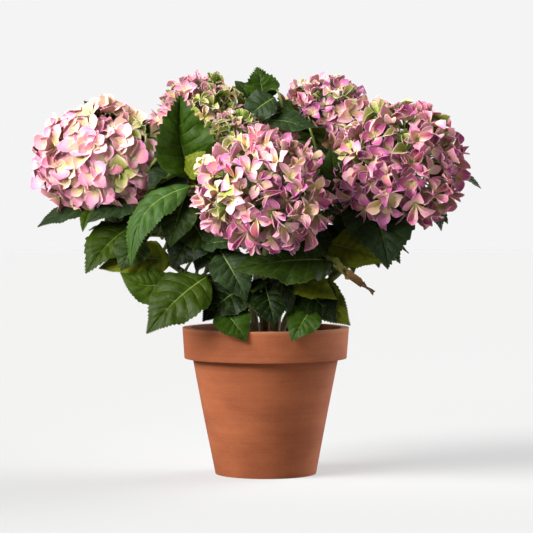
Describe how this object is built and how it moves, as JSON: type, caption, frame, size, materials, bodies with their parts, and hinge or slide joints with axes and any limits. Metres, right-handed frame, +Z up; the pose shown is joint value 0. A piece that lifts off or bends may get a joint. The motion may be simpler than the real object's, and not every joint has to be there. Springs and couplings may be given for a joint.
{
  "type": "potted mophead hydrangea shrub",
  "caption": "Mophead hydrangea with round pink and cream flower heads over broad toothed leaves, growing on arching canes in a tapered clay pot with a deep rim.",
  "frame": {"origin": "centre of the pot's flat underside, on the pot's axis", "axes": "+Z up along the pot's axis, -Y towards the plant's front, +X to the right as seen from the front"},
  "size_m": [0.5113, 0.3963, 0.463],
  "materials": {
    "terracotta": "matte",
    "potting_mix": "matte",
    "wood": "matte",
    "cane": "matte",
    "leaf": "matte",
    "withered_leaf": "matte",
    "bloom": "matte",
    "bloom_young": "matte"
  },
  "bodies": {
    "root": {"bloom_back": "bloom", "bloom_back_left": "bloom", "bloom_back_right": "bloom", "bloom_front": "bloom", "bloom_left": "bloom", "bloom_right": "bloom", "bloom_top_left": "bloom", "bloom_top_right": "bloom", "bloom_young": "bloom_young", "cane_back": "cane", "cane_back_left": "cane", "cane_back_right": "cane", "cane_front": "cane", "cane_left": "cane", "cane_right": "cane", "cane_top_left": "cane", "cane_top_right": "cane", "cane_young": "cane", "leaves_back": "leaf", "leaves_back_left": "leaf", "leaves_back_low": "leaf", "leaves_back_right": "leaf", "leaves_front": "leaf", "leaves_inner_left": "leaf", "leaves_inner_right": "leaf", "leaves_left": "leaf", "leaves_left_front": "leaf", "leaves_low_left": "leaf", "leaves_middle": "leaf", "leaves_right": "leaf", "leaves_right_low": "leaf", "leaves_right_side": "leaf", "leaves_top": "leaf", "pot": "terracotta", "rootstock": "wood", "soil": "potting_mix", "withered_leaf": "withered_leaf"}
  },
  "joints": []
}
